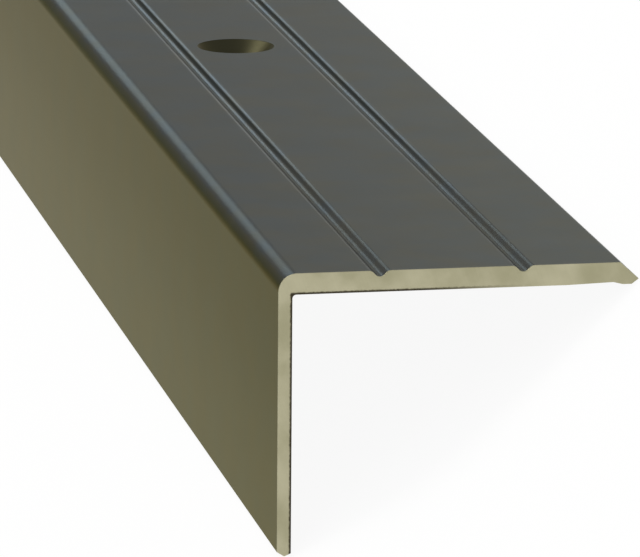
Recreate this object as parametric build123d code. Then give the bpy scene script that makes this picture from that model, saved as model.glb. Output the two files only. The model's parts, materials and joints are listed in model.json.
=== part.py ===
"""Aluminium stair nose: an extruded L-section with a grooved tread and countersunk screw holes.

The section is drawn as it sits on a step, tread level. X runs back over the tread from the riser's
outer face, Z runs up with 0 on the tread's top, and the stock runs along Y. The finished length is
then laid down as it rests unheld on a floor: on its two free edges, with the rounded nose upwards.
"""
import os
from math import atan2, degrees, radians, tan

from build123d import *

# Overall sizes of the stock (mm)
length = 1000.0
tread_width = 38.0
riser_height = 30.0
tread_thickness = 2.25
riser_thickness = 1.5
nose_radius = 2.0
inner_corner_radius = 0.4

# V grooves along the tread's top, with a wide round root and soft lips
first_groove_from_riser = 10.65
groove_spacing = 15.1
groove_count = 2
groove_width = 1.8
groove_angle = 90.0
groove_lip_radius = 0.6
groove_root_radius = 0.65

# Back edge of the tread: bevelled above and below, with a low lip that bears on the covering
edge_bevel_run = 2.0
edge_bevel_drop = 1.8
under_bevel_run = 0.75
lip_land = 0.95
lip_ramp = 1.0
lip_drop = 0.1
relief_depth = 0.15
relief_run = 5.0

# Lower edge of the riser: a blunt point between two bevels
outer_bevel_run = 0.8
outer_bevel_rise = 0.5
inner_bevel_rise = 0.3

# Countersunk screw holes in one row between the grooves
hole_count = 4
hole_from_riser = 17.8
hole_end_margin = 125.0
screw_hole_diameter = 5.5
countersink_diameter = 9.4
countersink_angle = 90.0

# Corners of the two free edges
underside = -tread_thickness
lip_level = underside - lip_drop
lip_back_x = tread_width - under_bevel_run
lip_front_x = lip_back_x - lip_land
lip_root_x = lip_front_x - lip_ramp
tread_tip = (tread_width, -edge_bevel_drop)
lip_back = (lip_back_x, lip_level)
riser_tip = (outer_bevel_run, -riser_height)
riser_inner_foot = (riser_thickness, inner_bevel_rise - riser_height)

# Inner corner of the angle, and the pitch of the holes along the stock
inner_corner = (riser_thickness, underside)
hole_spacing = (length - 2 * hole_end_margin) / (hole_count - 1)


def section_corners():
    """Corners of the L-section in order, before any is rounded and the grooves are cut."""
    return [
        (0, 0),
        (tread_width - edge_bevel_run, 0),
        tread_tip,
        lip_back,
        (lip_front_x, lip_level),
        (lip_root_x, underside + relief_depth),
        (lip_root_x - relief_run, underside),
        inner_corner,
        riser_inner_foot,
        riser_tip,
        (0, outer_bevel_rise - riser_height),
    ]


def round_corner(sketch, corner, radius):
    """Round the corner of the sketch that lies at the given point."""
    fillet(sketch.vertices().sort_by_distance((*corner, 0))[0], radius)


def cut_groove(sketch, centre):
    """One V groove with a rounded root and eased lips."""
    half_width = groove_width / 2
    front_lip = (centre - half_width, 0)
    back_lip = (centre + half_width, 0)
    root = (centre, -half_width / tan(radians(groove_angle / 2)))
    Polygon(front_lip, root, back_lip, align=None, mode=Mode.SUBTRACT)
    round_corner(sketch, root, groove_root_radius)
    round_corner(sketch, front_lip, groove_lip_radius)
    round_corner(sketch, back_lip, groove_lip_radius)


def section():
    """The L-section as a face, with its rounded nose and inner corner and its grooves."""
    with BuildSketch(Plane.XZ) as sketch:
        Polygon(*section_corners(), align=None)
        round_corner(sketch, (0, 0), nose_radius)
        round_corner(sketch, inner_corner, inner_corner_radius)
        for index in range(groove_count):
            cut_groove(sketch, first_groove_from_riser + groove_spacing * index)
    return sketch.sketch


def resting_tilt():
    """Angle that brings the two free edges level, for the line that no corner passes below."""
    tread_corners = [tread_tip, lip_back]
    riser_corners = [riser_tip, riser_inner_foot]
    return max(
        min(degrees(atan2(back[1] - foot[1], back[0] - foot[0])) for back in tread_corners)
        for foot in riser_corners
    )


with BuildPart() as nose:
    extrude(section(), amount=length / 2, both=True)
    first_hole_y = hole_end_margin - length / 2
    hole_row = [first_hole_y + hole_spacing * index for index in range(hole_count)]
    with Locations([(hole_from_riser, hole_y, 0) for hole_y in hole_row]):
        CounterSinkHole(
            radius=screw_hole_diameter / 2,
            counter_sink_radius=countersink_diameter / 2,
            counter_sink_angle=countersink_angle,
        )

# Lay the stock down on its free edges, with the origin under the middle of its box
laid = nose.part.rotate(Axis.Y, resting_tilt())
box = laid.bounding_box()
stair_nose = laid.translate((-box.center().X, -box.center().Y, -box.min.Z))

os.makedirs("parts", exist_ok=True)
export_step(stair_nose, "parts/stair_nose.step")
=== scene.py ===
import json
import math

import bmesh
import bpy
from mathutils import Matrix, Vector


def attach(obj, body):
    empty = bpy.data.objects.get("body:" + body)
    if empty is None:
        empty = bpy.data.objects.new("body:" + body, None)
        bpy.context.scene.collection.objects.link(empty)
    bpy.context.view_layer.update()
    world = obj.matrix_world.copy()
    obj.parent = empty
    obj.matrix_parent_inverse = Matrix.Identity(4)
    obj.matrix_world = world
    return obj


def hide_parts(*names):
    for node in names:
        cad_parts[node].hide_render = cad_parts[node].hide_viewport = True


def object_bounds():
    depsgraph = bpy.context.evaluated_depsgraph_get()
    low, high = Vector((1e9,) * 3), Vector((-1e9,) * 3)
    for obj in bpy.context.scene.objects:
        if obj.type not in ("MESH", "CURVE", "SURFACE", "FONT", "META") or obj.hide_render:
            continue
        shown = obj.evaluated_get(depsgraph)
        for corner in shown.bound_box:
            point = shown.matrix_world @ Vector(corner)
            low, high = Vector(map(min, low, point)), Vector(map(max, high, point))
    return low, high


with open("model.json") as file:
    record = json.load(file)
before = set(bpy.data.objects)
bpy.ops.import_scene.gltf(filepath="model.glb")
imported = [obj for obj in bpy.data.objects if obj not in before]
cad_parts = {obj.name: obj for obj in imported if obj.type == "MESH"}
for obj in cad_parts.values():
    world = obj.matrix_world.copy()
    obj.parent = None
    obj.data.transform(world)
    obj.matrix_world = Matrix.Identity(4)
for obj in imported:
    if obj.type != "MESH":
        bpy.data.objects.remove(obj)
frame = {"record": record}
cad_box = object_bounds()

# Sizes of the section in millimetres, as it sits on a step: X back over the tread, Z up
TREAD_WIDTH = 38.0
RISER_HEIGHT = 30.0
TREAD_WALL = 2.25
RISER_WALL = 1.5
NOSE_RADIUS = 2.0
INNER_CORNER_RADIUS = 0.4
GROOVE_CENTRES = (10.65, 25.75)
GROOVE_WIDTH = 1.8
GROOVE_ANGLE = math.radians(90)
GROOVE_LIP_RADIUS = 0.6
GROOVE_ROOT_RADIUS = 0.65
EDGE_BEVEL_RUN = 2.0
EDGE_BEVEL_DROP = 1.8
UNDER_BEVEL_RUN = 0.75
LIP_LAND = 0.95
LIP_RAMP = 1.0
LIP_DROP = 0.1
RELIEF_DEPTH = 0.15
RELIEF_RUN = 5.0
OUTER_BEVEL_RUN = 0.8
OUTER_BEVEL_RISE = 0.5
INNER_BEVEL_RISE = 0.3
COUNTERSINK_RADIUS = 4.7
COUNTERSINK_SLOPE = math.radians(45)
RIM_EASE = 0.15
SAWN_EDGE_BREAK = 0.05
MM = 0.001

# Steps on the rounded corners, on the broken and eased edges, and round a hole
NOSE_STEPS = 32
INNER_CORNER_STEPS = 8
GROOVE_LIP_STEPS = 10
GROOVE_ROOT_STEPS = 16
SAWN_EDGE_STEPS = 2
RIM_STEPS = 6
HOLE_STEPS = 128

# Points closer than this are one point, and corners sharper than this stay sharp
SAME_POINT = 1e-4
SHARP_CORNER = math.radians(30)

# Colours of the anodised skin, with the warm and cool casts of its clouds. The skin is one dye all
# over: the riser's olive against the tread's grey is painted warm and cool reflected light, and the
# riser is painted lighter towards its foot and darker towards its top.
RISER_FOOT_PAINTED_LIGHT = (0.124, 0.114, 0.075, 1)
RISER_TOP_PAINTED_SHADE = (0.081, 0.079, 0.055, 1)
TREAD_GREY = (0.117, 0.119, 0.122, 1)
# Painted highlight on the groove lips and roots, and painted shade on their back walls
GROOVE_PAINTED_HIGHLIGHT = (0.195, 0.20, 0.21, 1)
GROOVE_PAINTED_SHADE = (0.034, 0.037, 0.042, 1)
WARM_CAST = (1.06, 1.0, 0.91, 1)
COOL_CAST = (0.94, 1.0, 1.09, 1)

# Edge tints of the skin: one material each, in the order of the material slots. The three are copies of
# one skin, and the warmer tint on the riser against the greyer one on the tread is painted warm and
# cool reflected light.
PAINTED_LEG_SHEENS = {
    "anodised_riser": (0.52, 0.50, 0.36, 1),
    "anodised_nose": (0.495, 0.4875, 0.405, 1),
    "anodised_tread": (0.47, 0.475, 0.45, 1),
}

# Colours of the bare metal on the sawn ends and of the dark metal in the countersinks
SAWN_DARK = (0.42, 0.397, 0.254, 1)
SAWN_LIGHT = (0.55, 0.519, 0.356, 1)
# Painted shade: a dark brown line along the inner edges of the sawn ends
INNER_EDGE_PAINTED_SHADE = (0.06, 0.05, 0.032, 1)
DRILLED_DARK = (0.037, 0.036, 0.017, 1)
DRILLED_LIGHT = (0.054, 0.051, 0.032, 1)
DRILLED_SHEEN = (0.66, 0.63, 0.56, 1)

# The stock's place in the frame, read from the record's mounts
mounts = {mount["name"]: mount for mount in frame["record"]["mounts"]}
holes = [mount for name, mount in sorted(mounts.items()) if name.startswith("screw_hole")]
tread_up = Vector(holes[0]["axis"]).normalized()
tread_back = Vector((tread_up.z, 0.0, -tread_up.x))
riser_x = Vector(mounts["riser_back"]["pos_m"]).dot(tread_back) - RISER_WALL * MM
tread_z = Vector(mounts["tread_underside"]["pos_m"]).dot(tread_up) + TREAD_WALL * MM
nose = tread_back * riser_x + tread_up * tread_z
stock_length = (cad_box[1].y - cad_box[0].y) / MM
near_end = -stock_length / 2
tilt = math.atan2(tread_up.x, tread_up.z)
laid = Matrix.Translation(nose) @ Matrix.Rotation(tilt, 4, "Y")
hole_places = [laid.inverted() @ Vector(hole["pos_m"]) / MM for hole in holes]
hole_radius = holes[0]["dims"]["r_mm"]
hole_pitch = hole_places[1].y - hole_places[0].y


def section_corners():
    """Corners of the L-section in order, grooves included, before any is rounded."""
    under = -TREAD_WALL
    lip_back = TREAD_WIDTH - UNDER_BEVEL_RUN
    lip_front = lip_back - LIP_LAND
    lip_root = lip_front - LIP_RAMP
    corners = [(0, 0)]
    for centre in GROOVE_CENTRES:
        corners += groove_corners(centre)
    return corners + [
        (TREAD_WIDTH - EDGE_BEVEL_RUN, 0),
        (TREAD_WIDTH, -EDGE_BEVEL_DROP),
        (lip_back, under - LIP_DROP),
        (lip_front, under - LIP_DROP),
        (lip_root, under + RELIEF_DEPTH),
        (lip_root - RELIEF_RUN, under),
        (RISER_WALL, under),
        (RISER_WALL, INNER_BEVEL_RISE - RISER_HEIGHT),
        (OUTER_BEVEL_RUN, -RISER_HEIGHT),
        (0, OUTER_BEVEL_RISE - RISER_HEIGHT),
    ]


def groove_corners(centre):
    """Front lip, root and back lip of a sharp V groove."""
    half_width = GROOVE_WIDTH / 2
    depth = half_width / math.tan(GROOVE_ANGLE / 2)
    return [(centre - half_width, 0), (centre, -depth), (centre + half_width, 0)]


def pick(kind, test):
    """In edit mode, select only the vertices, edges or faces that pass the test."""
    bpy.ops.mesh.select_all(action="DESELECT")
    bpy.ops.mesh.select_mode(type=kind)
    mesh = bmesh.from_edit_mesh(bpy.context.edit_object.data)
    for element in {"VERT": mesh.verts, "EDGE": mesh.edges, "FACE": mesh.faces}[kind]:
        if test(element):
            element.select_set(True)
    mesh.select_flush_mode()
    bmesh.update_edit_mesh(bpy.context.edit_object.data)


def near(corner):
    """A test for the vertex at a corner of the section."""
    spot = Vector((corner[0], near_end, corner[1]))
    return lambda vertex: (vertex.co - spot).length < SAME_POINT


def round_corner(corner, reach, segments):
    """Round one corner of the flat section, taking reach off each of its two sides."""
    pick("VERT", near(corner))
    bpy.ops.mesh.bevel(offset=reach, offset_type="OFFSET", segments=segments, affect="VERTICES")


def draw_line(points, y):
    """Draw an open line of points (x, z) at one place along the stock, and stay in edit mode."""
    bpy.ops.object.select_all(action="DESELECT")
    bpy.ops.mesh.primitive_plane_add(size=1, location=(points[0][0], y, points[0][1]))
    drawn = bpy.context.object
    bpy.ops.object.transform_apply(location=True, rotation=True, scale=True)
    bpy.ops.object.mode_set(mode="EDIT")
    bpy.ops.mesh.select_mode(type="VERT")
    bpy.ops.mesh.select_all(action="SELECT")
    bpy.ops.mesh.merge(type="CENTER")
    for here, there in zip(points, points[1:]):
        step = (there[0] - here[0], 0, there[1] - here[1])
        bpy.ops.mesh.extrude_vertices_move(TRANSFORM_OT_translate={"value": step})
    return drawn


def draw_section():
    """Draw the section corner by corner on the plane of the near end and fill it."""
    corners = section_corners()
    angle = draw_line(corners, near_end)
    first, last = near(corners[0]), near(corners[-1])
    pick("VERT", lambda vertex: first(vertex) or last(vertex))
    bpy.ops.mesh.edge_face_add()
    bpy.ops.mesh.select_all(action="SELECT")
    bpy.ops.mesh.edge_face_add()
    return angle


def round_section():
    """Round the nose, the inner corner, and the lips and roots of the grooves."""
    wall_slope = math.pi / 2 - GROOVE_ANGLE / 2
    lip_reach = GROOVE_LIP_RADIUS * math.tan(wall_slope / 2)
    root_reach = GROOVE_ROOT_RADIUS * math.tan(wall_slope)
    for centre in GROOVE_CENTRES:
        front_lip, root, back_lip = groove_corners(centre)
        round_corner(root, root_reach, GROOVE_ROOT_STEPS)
        round_corner(front_lip, lip_reach, GROOVE_LIP_STEPS)
        round_corner(back_lip, lip_reach, GROOVE_LIP_STEPS)
    round_corner((0, 0), NOSE_RADIUS, NOSE_STEPS)
    round_corner((RISER_WALL, -TREAD_WALL), INNER_CORNER_RADIUS, INNER_CORNER_STEPS)


def extrude_stock():
    """Draw the section out to the full length and break the sharp edges of both sawn ends."""
    bpy.ops.mesh.select_all(action="SELECT")
    bpy.ops.mesh.extrude_region_move(TRANSFORM_OT_translate={"value": (0, stock_length, 0)})
    bpy.ops.mesh.select_all(action="SELECT")
    bpy.ops.mesh.normals_make_consistent(inside=False)
    at_end = stock_length / 2 - 10 * SAME_POINT
    pick("EDGE", lambda edge: all(abs(vertex.co.y) > at_end for vertex in edge.verts))
    bpy.ops.mesh.bevel(offset=SAWN_EDGE_BREAK, segments=SAWN_EDGE_STEPS, affect="EDGES")


def cutter_profile():
    """Half of the hole's outline as (distance from the axis, height): shank, countersink, eased rim."""
    sink = (COUNTERSINK_RADIUS - hole_radius) * math.tan(COUNTERSINK_SLOPE)
    ease_centre = COUNTERSINK_RADIUS + RIM_EASE * math.tan(COUNTERSINK_SLOPE / 2)
    outside = ease_centre + RIM_EASE / 2
    clear = 1.0
    profile = [(0, -TREAD_WALL - clear), (hole_radius, -TREAD_WALL - clear), (hole_radius, -sink)]
    for step in range(RIM_STEPS):
        lean = COUNTERSINK_SLOPE * (1 - step / RIM_STEPS)
        profile.append((ease_centre - RIM_EASE * math.sin(lean), RIM_EASE * (math.cos(lean) - 1)))
    return profile + [(outside, RIM_EASE / 10), (outside, clear), (0, clear)]


def turn_cutter(place):
    """A solid of the hole's shape, spun about the hole's axis."""
    outline = [(place.x + distance, height) for distance, height in cutter_profile()]
    cutter = draw_line(outline, place.y)
    bpy.ops.mesh.select_all(action="SELECT")
    centre = (place.x, place.y, 0)
    bpy.ops.mesh.spin(steps=HOLE_STEPS, angle=2 * math.pi, center=centre, axis=(0, 0, 1))
    bpy.ops.mesh.select_all(action="SELECT")
    bpy.ops.mesh.remove_doubles(threshold=SAME_POINT)
    bpy.ops.mesh.normals_make_consistent(inside=False)
    bpy.ops.object.mode_set(mode="OBJECT")
    return cutter


def drill_holes(angle):
    """Cut the countersunk screw holes with one turned cutter for each."""
    bpy.ops.object.mode_set(mode="OBJECT")
    for place in hole_places:
        cutter = turn_cutter(place)
        bpy.context.view_layer.objects.active = angle
        cut = angle.modifiers.new("screw_hole", "BOOLEAN")
        cut.operation = "DIFFERENCE"
        cut.solver = "EXACT"
        cut.object = cutter
        bpy.ops.object.modifier_apply(modifier=cut.name)
        bpy.data.objects.remove(cutter)


def lay_down(angle):
    """Bring the finished piece from millimetres on the step to its place in the frame."""
    angle.matrix_world = laid @ Matrix.Scale(MM, 4)
    bpy.ops.object.select_all(action="DESELECT")
    angle.select_set(True)
    bpy.context.view_layer.objects.active = angle
    bpy.ops.object.transform_apply(location=True, rotation=True, scale=True)


def smooth_faces(angle):
    """Smooth shading that keeps the flats flat and the corners sharp."""
    bpy.ops.object.shade_smooth_by_angle(angle=SHARP_CORNER)
    weigh = angle.modifiers.new("flat_faces_lead", "WEIGHTED_NORMAL")
    weigh.mode = "FACE_AREA"
    weigh.weight = 100
    weigh.keep_sharp = True
    bpy.ops.object.modifier_apply(modifier=weigh.name)


def new_material(name):
    """A node material, with its node tree and its Principled BSDF."""
    material = bpy.data.materials.new(name)
    material.use_nodes = True
    tree = material.node_tree
    return material, tree, tree.nodes["Principled BSDF"]


def put(tree, kind, sockets, **settings):
    """Add a node, set it, and give its inputs their values or links."""
    node = tree.nodes.new(kind)
    for name, value in settings.items():
        setattr(node, name, value)
    for key, value in sockets.items():
        if isinstance(value, bpy.types.NodeSocket):
            tree.links.new(value, node.inputs[key])
        else:
            node.inputs[key].default_value = value
    return node


def figure(tree, operation, *values):
    """One step of arithmetic."""
    return put(tree, "ShaderNodeMath", dict(enumerate(values)), operation=operation).outputs[0]


def ramp(tree, value, off, full):
    """0 at off and beyond it, 1 at full and beyond it, and a soft change between."""
    sockets = {"Value": value, "From Min": off, "From Max": full}
    return put(tree, "ShaderNodeMapRange", sockets, interpolation_type="SMOOTHSTEP").outputs[0]


def blend(tree, factor, first, second, way="MIX"):
    """Mix two colours; the Mix node's colour inputs are numbers 6 and 7, counted from 0."""
    sockets = {0: factor, 6: first, 7: second}
    return put(tree, "ShaderNodeMix", sockets, data_type="RGBA", blend_type=way).outputs[2]


def section_place(tree):
    """Millimetres in the section's own axes, from the object's coordinates."""
    place = tree.nodes.new("ShaderNodeTexCoord").outputs["Object"]
    turn = Matrix.Rotation(-tilt, 3, "Y")
    sockets = {"Vector": place, "Location": turn @ nose / -MM, "Rotation": (0, -tilt, 0),
               "Scale": (1 / MM, 1 / MM, 1 / MM)}
    return put(tree, "ShaderNodeMapping", sockets).outputs[0]


def new_group(name, inputs, output):
    """An empty node group with its inputs, as socket types by name, and one value as output."""
    group = bpy.data.node_groups.new(name, "ShaderNodeTree")
    for label, kind in inputs.items():
        group.interface.new_socket(name=label, in_out="INPUT", socket_type=kind)
    group.interface.new_socket(name=output, in_out="OUTPUT", socket_type="NodeSocketFloat")
    return group, group.nodes.new("NodeGroupInput").outputs, group.nodes.new("NodeGroupOutput").inputs


def make_clouding():
    """Soft clouds of tone over a surface."""
    group, given, result = new_group(
        "soft_clouding", {"Place": "NodeSocketVector", "Cloud Size": "NodeSocketFloat"}, "Cloud")
    scale = figure(group, "DIVIDE", 1.0, given["Cloud Size"])
    sockets = {"Vector": given["Place"], "Scale": scale, "Detail": 3.0, "Roughness": 0.55}
    cloud = put(group, "ShaderNodeTexNoise", sockets)
    group.links.new(cloud.outputs[0], result["Cloud"])
    return group


def make_tool_lines():
    """Fine tool lines that run along Y of the place given."""
    group, given, result = new_group(
        "tool_lines",
        {"Place": "NodeSocketVector", "Pitch": "NodeSocketFloat", "Run": "NodeSocketFloat"}, "Line")
    size = put(group, "ShaderNodeCombineXYZ", {0: given["Pitch"], 1: given["Run"], 2: given["Pitch"]})
    sockets = {0: given["Place"], 1: size.outputs[0]}
    scaled = put(group, "ShaderNodeVectorMath", sockets, operation="DIVIDE")
    sockets = {"Vector": scaled.outputs[0], "Scale": 1.0, "Detail": 3.0, "Roughness": 0.6}
    line = put(group, "ShaderNodeTexNoise", sockets)
    group.links.new(line.outputs[0], result["Line"])
    return group


clouding = make_clouding()
tool_lines = make_tool_lines()


def clouds(tree, place, size):
    """Soft clouds of a size in millimetres, as a value from 0 to 1."""
    sockets = {"Place": place, "Cloud Size": size}
    return put(tree, "ShaderNodeGroup", sockets, node_tree=clouding).outputs["Cloud"]


def lines(tree, place, pitch, run):
    """Tool lines of a pitch and a length in millimetres, as a value from 0 to 1."""
    sockets = {"Place": place, "Pitch": pitch, "Run": run}
    return put(tree, "ShaderNodeGroup", sockets, node_tree=tool_lines).outputs["Line"]


def around(tree, value, swing, middle=1.0):
    """A value from 0 to 1 as a swing about a middle."""
    return figure(tree, "MULTIPLY_ADD", value, 2 * swing, middle - swing)


def raise_lines(tree, shader, line, height):
    """Bump from tool lines of a height in metres."""
    sockets = {"Height": line, "Strength": 1.0, "Distance": height}
    tree.links.new(put(tree, "ShaderNodeBump", sockets).outputs[0], shader.inputs["Normal"])


def stripe(tree, value, centre, reach):
    """1 on a centre line, with a soft fall to 0 within a reach on both sides."""
    off_centre = figure(tree, "ABSOLUTE", figure(tree, "SUBTRACT", value, centre))
    return ramp(tree, off_centre, off=reach, full=0.0)


def painted_groove_light(tree, x, y, z, colour):
    """Painted highlights on the lips and roots and painted shade on the back walls of the grooves,
    fading out towards the sawn ends.
    """
    pitch = GROOVE_CENTRES[1] - GROOVE_CENTRES[0]
    from_first = figure(tree, "SUBTRACT", x, GROOVE_CENTRES[0])
    from_root = figure(tree, "WRAP", from_first, pitch / 2, -pitch / 2)
    from_end = figure(tree, "SUBTRACT", stock_length / 2, figure(tree, "ABSOLUTE", y))
    on_top = ramp(tree, z, off=-1.3, full=-1.0)
    shown = figure(tree, "MULTIPLY", on_top, ramp(tree, from_end, off=15.0, full=90.0))
    lips = stripe(tree, figure(tree, "ABSOLUTE", from_root), centre=1.0, reach=0.38)
    root = stripe(tree, from_root, centre=0.3, reach=0.3)
    back_wall_shade = stripe(tree, from_root, centre=0.63, reach=0.28)
    # Painted highlight on the lips and roots, painted shade on the back walls below.
    light = figure(tree, "MAXIMUM", lips, root)
    colour = blend(tree, figure(tree, "MULTIPLY", light, shown), colour, GROOVE_PAINTED_HIGHLIGHT)
    return blend(tree, figure(tree, "MULTIPLY", back_wall_shade, shown), colour, GROOVE_PAINTED_SHADE)


def skin_colour(tree, place):
    """Olive riser leg and greyer tread leg with its grooves, one dyed skin whose leg colours differ as
    painted warm and cool reflected light; the riser is painted lighter towards its foot and darker
    towards its top.
    """
    axes = put(tree, "ShaderNodeSeparateXYZ", {0: place})
    x, y, z = axes.outputs["X"], axes.outputs["Y"], axes.outputs["Z"]
    # Painted light and shade: the riser runs from a lighter foot to a darker top.
    up_riser = ramp(tree, z, off=-RISER_HEIGHT, full=0.0)
    riser = blend(tree, up_riser, RISER_FOOT_PAINTED_LIGHT, RISER_TOP_PAINTED_SHADE)
    tread = painted_groove_light(tree, x, y, z, TREAD_GREY)
    # Painted reflected light: over the nose the olive riser turns into the greyer tread of the same
    # skin.
    over_nose = ramp(tree, figure(tree, "ADD", x, z), off=-1.5, full=0.5)
    return blend(tree, over_nose, riser, tread), up_riser


def anodised_skin(name, sheen):
    """Dyed satin skin with soft clouds of tone, faint die lines along the stock and an edge tint, which
    differs between the riser, nose and tread copies as painted reflected light.
    """
    material, tree, shader = new_material(name)
    place = section_place(tree)
    cloud = clouds(tree, place, size=9.0)
    line = lines(tree, place, pitch=1.0, run=250.0)
    colour, up_riser = skin_colour(tree, place)
    warm_to_cool = ramp(tree, clouds(tree, place, size=7.0), off=0.3, full=0.7)
    cast = blend(tree, warm_to_cool, WARM_CAST, COOL_CAST)
    colour = blend(tree, 1.0, colour, cast, "MULTIPLY")
    tone = figure(tree, "MULTIPLY", around(tree, cloud, swing=0.13), around(tree, line, swing=0.02))
    tree.links.new(blend(tree, 1.0, colour, tone, "MULTIPLY"), shader.inputs["Base Color"])
    satin = figure(tree, "MULTIPLY_ADD", up_riser, 0.03, 0.282)
    roughness = figure(tree, "ADD", satin, around(tree, line, swing=0.005, middle=0.0))
    tree.links.new(roughness, shader.inputs["Roughness"])
    raise_lines(tree, shader, line, height=3e-7)
    shader.inputs["Metallic"].default_value = 1.0
    # Painted reflected light: the edge tint differs between the riser, nose and tread copies of this
    # skin.
    shader.inputs["Specular Tint"].default_value = sheen
    return material


def inner_edge_shade_line(tree, place):
    """1 on a thin ragged line of painted shade along the inner edges of the angle, fading out over the
    tread.
    """
    axes = put(tree, "ShaderNodeSeparateXYZ", {0: place})
    from_riser = figure(tree, "MAXIMUM", figure(tree, "SUBTRACT", RISER_WALL, axes.outputs["X"]), 0.0)
    from_tread = figure(tree, "MAXIMUM", figure(tree, "ADD", axes.outputs["Z"], TREAD_WALL), 0.0)
    corner = put(tree, "ShaderNodeCombineXYZ", {"X": from_riser, "Y": from_tread}).outputs[0]
    depth = put(tree, "ShaderNodeVectorMath", {0: corner}, operation="LENGTH").outputs["Value"]
    ragged = figure(tree, "MULTIPLY_ADD", clouds(tree, place, size=0.4), 0.24, depth)
    line = ramp(tree, ragged, off=0.44, full=0.26)
    near_riser = ramp(tree, axes.outputs["X"], off=28.0, full=14.0)
    return figure(tree, "MULTIPLY", line, near_riser)


def sawn_metal():
    """Bare metal of the sawn ends: soft clouds, saw lines and a dark ragged line of painted shade along
    the inner edges.
    """
    material, tree, shader = new_material("sawn_metal")
    place = section_place(tree)
    further_along = {"Vector": place, "Location": (0, 7.0, 0)}
    cloud = clouds(tree, put(tree, "ShaderNodeMapping", further_along).outputs[0], size=5.0)
    across = {"Vector": place, "Rotation": (math.pi / 2, 0, 0.35)}
    line = lines(tree, put(tree, "ShaderNodeMapping", across).outputs[0], pitch=0.25, run=30.0)
    colour = blend(tree, ramp(tree, cloud, off=0.3, full=0.7), SAWN_DARK, SAWN_LIGHT)
    colour = blend(tree, 1.0, colour, around(tree, line, swing=0.08), "MULTIPLY")
    # Painted shade: a dark ragged line along the inner edges.
    colour = blend(tree, inner_edge_shade_line(tree, place), colour, INNER_EDGE_PAINTED_SHADE)
    tree.links.new(colour, shader.inputs["Base Color"])
    tree.links.new(around(tree, line, swing=0.08, middle=0.45), shader.inputs["Roughness"])
    raise_lines(tree, shader, line, height=6e-6)
    shader.inputs["Metallic"].default_value = 1.0
    return material


def drilled_metal():
    """Metal of the countersinks, darker than the skin, with turned rings."""
    material, tree, shader = new_material("drilled_metal")
    place = section_place(tree)
    axes = put(tree, "ShaderNodeSeparateXYZ", {0: place})
    from_row = figure(tree, "SUBTRACT", axes.outputs["X"], hole_places[0].x)
    along = figure(tree, "SUBTRACT", axes.outputs["Y"], hole_places[0].y)
    from_hole = figure(tree, "WRAP", along, hole_pitch / 2, -hole_pitch / 2)
    across_squared = figure(tree, "POWER", from_row, 2.0)
    along_squared = figure(tree, "POWER", from_hole, 2.0)
    radius = figure(tree, "SQRT", figure(tree, "ADD", across_squared, along_squared))
    ring_place = put(tree, "ShaderNodeCombineXYZ", {"X": radius}).outputs[0]
    line = lines(tree, ring_place, pitch=0.12, run=1.0)
    tree.links.new(blend(tree, line, DRILLED_DARK, DRILLED_LIGHT), shader.inputs["Base Color"])
    tree.links.new(around(tree, line, swing=0.06, middle=0.44), shader.inputs["Roughness"])
    raise_lines(tree, shader, line, height=1.5e-6)
    shader.inputs["Metallic"].default_value = 1.0
    shader.inputs["Specular Tint"].default_value = DRILLED_SHEEN
    return material


def past_nose(face):
    """X plus Z at a face's middle: below 0 towards the riser, above 0 towards the tread."""
    middle = face.calc_center_median()
    return middle.x + middle.z


def on_nose(face):
    """True on the narrow band of the angle between the riser's skin and the tread's."""
    return -1.0 < past_nose(face) < 0.0


def on_tread(face):
    """True on the tread leg, from the middle of the nose to the back edge."""
    return past_nose(face) >= 0.0


def on_sawn_end(face):
    """True on the two sawn ends and their broken edges."""
    turned_out = abs(face.normal.y) > 0.3
    return turned_out and abs(face.calc_center_median().y) > stock_length / 2 - 0.2


def in_hole(face):
    """True on the walls of the screw holes, with their countersinks."""
    middle = face.calc_center_median()
    inside = [(middle.xy - place.xy).length < COUNTERSINK_RADIUS for place in hole_places]
    return any(inside) and abs(face.normal.z) < 0.9


def finish_faces(angle):
    """Give the riser, the nose and the tread copies of one skin that differ in painted reflected light,
    and the sawn ends and the drilled holes their own finishes.
    """
    skins = [anodised_skin(name, sheen) for name, sheen in PAINTED_LEG_SHEENS.items()]
    for material in (*skins, sawn_metal(), drilled_metal()):
        angle.data.materials.append(material)
    bpy.ops.object.mode_set(mode="EDIT")
    for slot, test in ((1, on_nose), (2, on_tread), (3, on_sawn_end), (4, in_hole)):
        pick("FACE", test)
        angle.active_material_index = slot
        bpy.ops.object.material_slot_assign()
    bpy.ops.object.mode_set(mode="OBJECT")


def build_angle():
    """The whole stair nose as one piece, finished and in its place."""
    angle = draw_section()
    angle.name = "anodised_angle"
    round_section()
    extrude_stock()
    drill_holes(angle)
    bpy.context.view_layer.objects.active = angle
    finish_faces(angle)
    lay_down(angle)
    smooth_faces(angle)
    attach(angle, "root")
    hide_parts("stair_nose")


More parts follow.
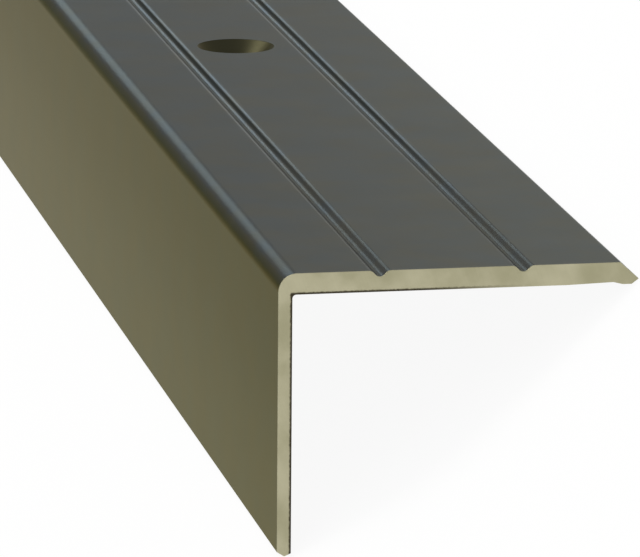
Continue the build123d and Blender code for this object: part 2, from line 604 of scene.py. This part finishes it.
def build_floor():
    """A pale floor that stays white to the eye and keeps a light shadow."""
    bpy.ops.object.select_all(action="DESELECT")
    bpy.ops.mesh.primitive_plane_add(size=80, location=(0, 0, 0))
    floor = bpy.context.object
    floor.name = "floor"
    material, tree, shader = new_material("pale_floor")
    tree.nodes.remove(shader)
    path = tree.nodes.new("ShaderNodeLightPath").outputs
    mirrored = figure(tree, "MAXIMUM", path["Is Glossy Ray"], path["Is Transmission Ray"])
    seen = figure(tree, "MAXIMUM", path["Is Camera Ray"], mirrored)
    lit = put(tree, "ShaderNodeBsdfDiffuse", {"Color": (0.8, 0.8, 0.8, 1)})
    shade = put(tree, "ShaderNodeBsdfDiffuse", {"Color": (0.08, 0.08, 0.08, 1)})
    glow = put(tree, "ShaderNodeEmission", {"Strength": 0.93})
    both = put(tree, "ShaderNodeAddShader", {0: shade.outputs[0], 1: glow.outputs[0]})
    mix = put(tree, "ShaderNodeMixShader", {0: seen, 1: lit.outputs[0], 2: both.outputs[0]})
    tree.links.new(mix.outputs[0], tree.nodes["Material Output"].inputs["Surface"])
    floor.data.materials.append(material)


def build_world():
    """Soft neutral room light, dimmer on the left than on the right."""
    world = bpy.data.worlds.new("studio")
    bpy.context.scene.world = world
    world.use_nodes = True
    tree = world.node_tree
    direction = tree.nodes.new("ShaderNodeTexCoord").outputs["Generated"]
    axes = put(tree, "ShaderNodeSeparateXYZ", {0: direction})
    to_right = ramp(tree, axes.outputs["X"], off=-0.1, full=0.5)
    colour = blend(tree, to_right, (0.44, 0.45, 0.43, 1), (0.60, 0.61, 0.63, 1))
    tree.links.new(colour, tree.nodes["Background"].inputs["Color"])


def soft_lamp(name, place, aim, size, power, colour):
    """A rectangular lamp, turned to its aim, that the camera doesn't see."""
    lamp = bpy.data.lights.new(name, "AREA")
    lamp.shape = "RECTANGLE"
    lamp.size, lamp.size_y = size
    lamp.energy = power
    lamp.color = colour
    box = bpy.data.objects.new(name, lamp)
    bpy.context.scene.collection.objects.link(box)
    box.location = place
    box.rotation_euler = (Vector(aim) - Vector(place)).to_track_quat("-Z", "Y").to_euler()
    box.visible_camera = False


def build_lamps():
    """One soft lamp overhead, and four weak low ones beyond the far end that the metal mirrors."""
    near_part = (0, -0.4, 0.02)
    soft_lamp("overhead", place=(0.1, 0.75, 2.6), aim=(0.1, 0.2, 0), size=(1.6, 1.1),
              power=36, colour=(1, 0.98, 0.95))
    soft_lamp("low_window", place=(1.05, 1.9, 0.25), aim=near_part, size=(0.6, 0.36),
              power=0.5, colour=(0.97, 1, 0.80))
    soft_lamp("far_panel", place=(0.375, 2.4, 0.563), aim=(0, -0.4, 0), size=(0.55, 0.38),
              power=2.15, colour=(0.71, 0.88, 1))
    soft_lamp("cool_board", place=(0.48, 2.4, 0.13), aim=near_part, size=(0.2, 0.2),
              power=0.06, colour=(0.3, 0.65, 1))
    soft_lamp("warm_board", place=(-0.95, 2.4, 0.16), aim=near_part, size=(0.3, 0.3),
              power=0.2, colour=(1, 0.65, 0.28))


# Camera of the photograph, in the section's own axes from the nose at the near end (millimetres)
CAMERA_FROM_NOSE = (-116.3, -626.0, 143.5)
CAMERA_AIM = (4.35, 0.0, -0.62)
CAMERA_ROLL = math.radians(0.435)
CAMERA_LENS = 358.4


def build_camera():
    """The photograph's camera, carried over from the section's axes to the frame's."""
    data = bpy.data.cameras.new("camera")
    data.lens = CAMERA_LENS
    data.sensor_width = 36
    data.clip_start = 0.01
    data.clip_end = 200
    camera = bpy.data.objects.new("camera", data)
    bpy.context.scene.collection.objects.link(camera)
    near_nose = Vector((0, near_end, 0))
    place = laid @ ((Vector(CAMERA_FROM_NOSE) + near_nose) * MM)
    target = laid @ ((Vector(CAMERA_AIM) + near_nose) * MM)
    forward = (target - place).normalized()
    right = forward.cross(tread_up).normalized()
    up = right.cross(forward)
    turned_right = right * math.cos(CAMERA_ROLL) + up * math.sin(CAMERA_ROLL)
    turned_up = up * math.cos(CAMERA_ROLL) - right * math.sin(CAMERA_ROLL)
    axes = Matrix((turned_right, turned_up, -forward)).transposed().to_4x4()
    camera.matrix_world = Matrix.Translation(place) @ axes
    bpy.context.scene.camera = camera


bpy.context.scene.view_settings.view_transform = "Standard"
build_angle()
build_floor()
build_world()
build_lamps()
build_camera()
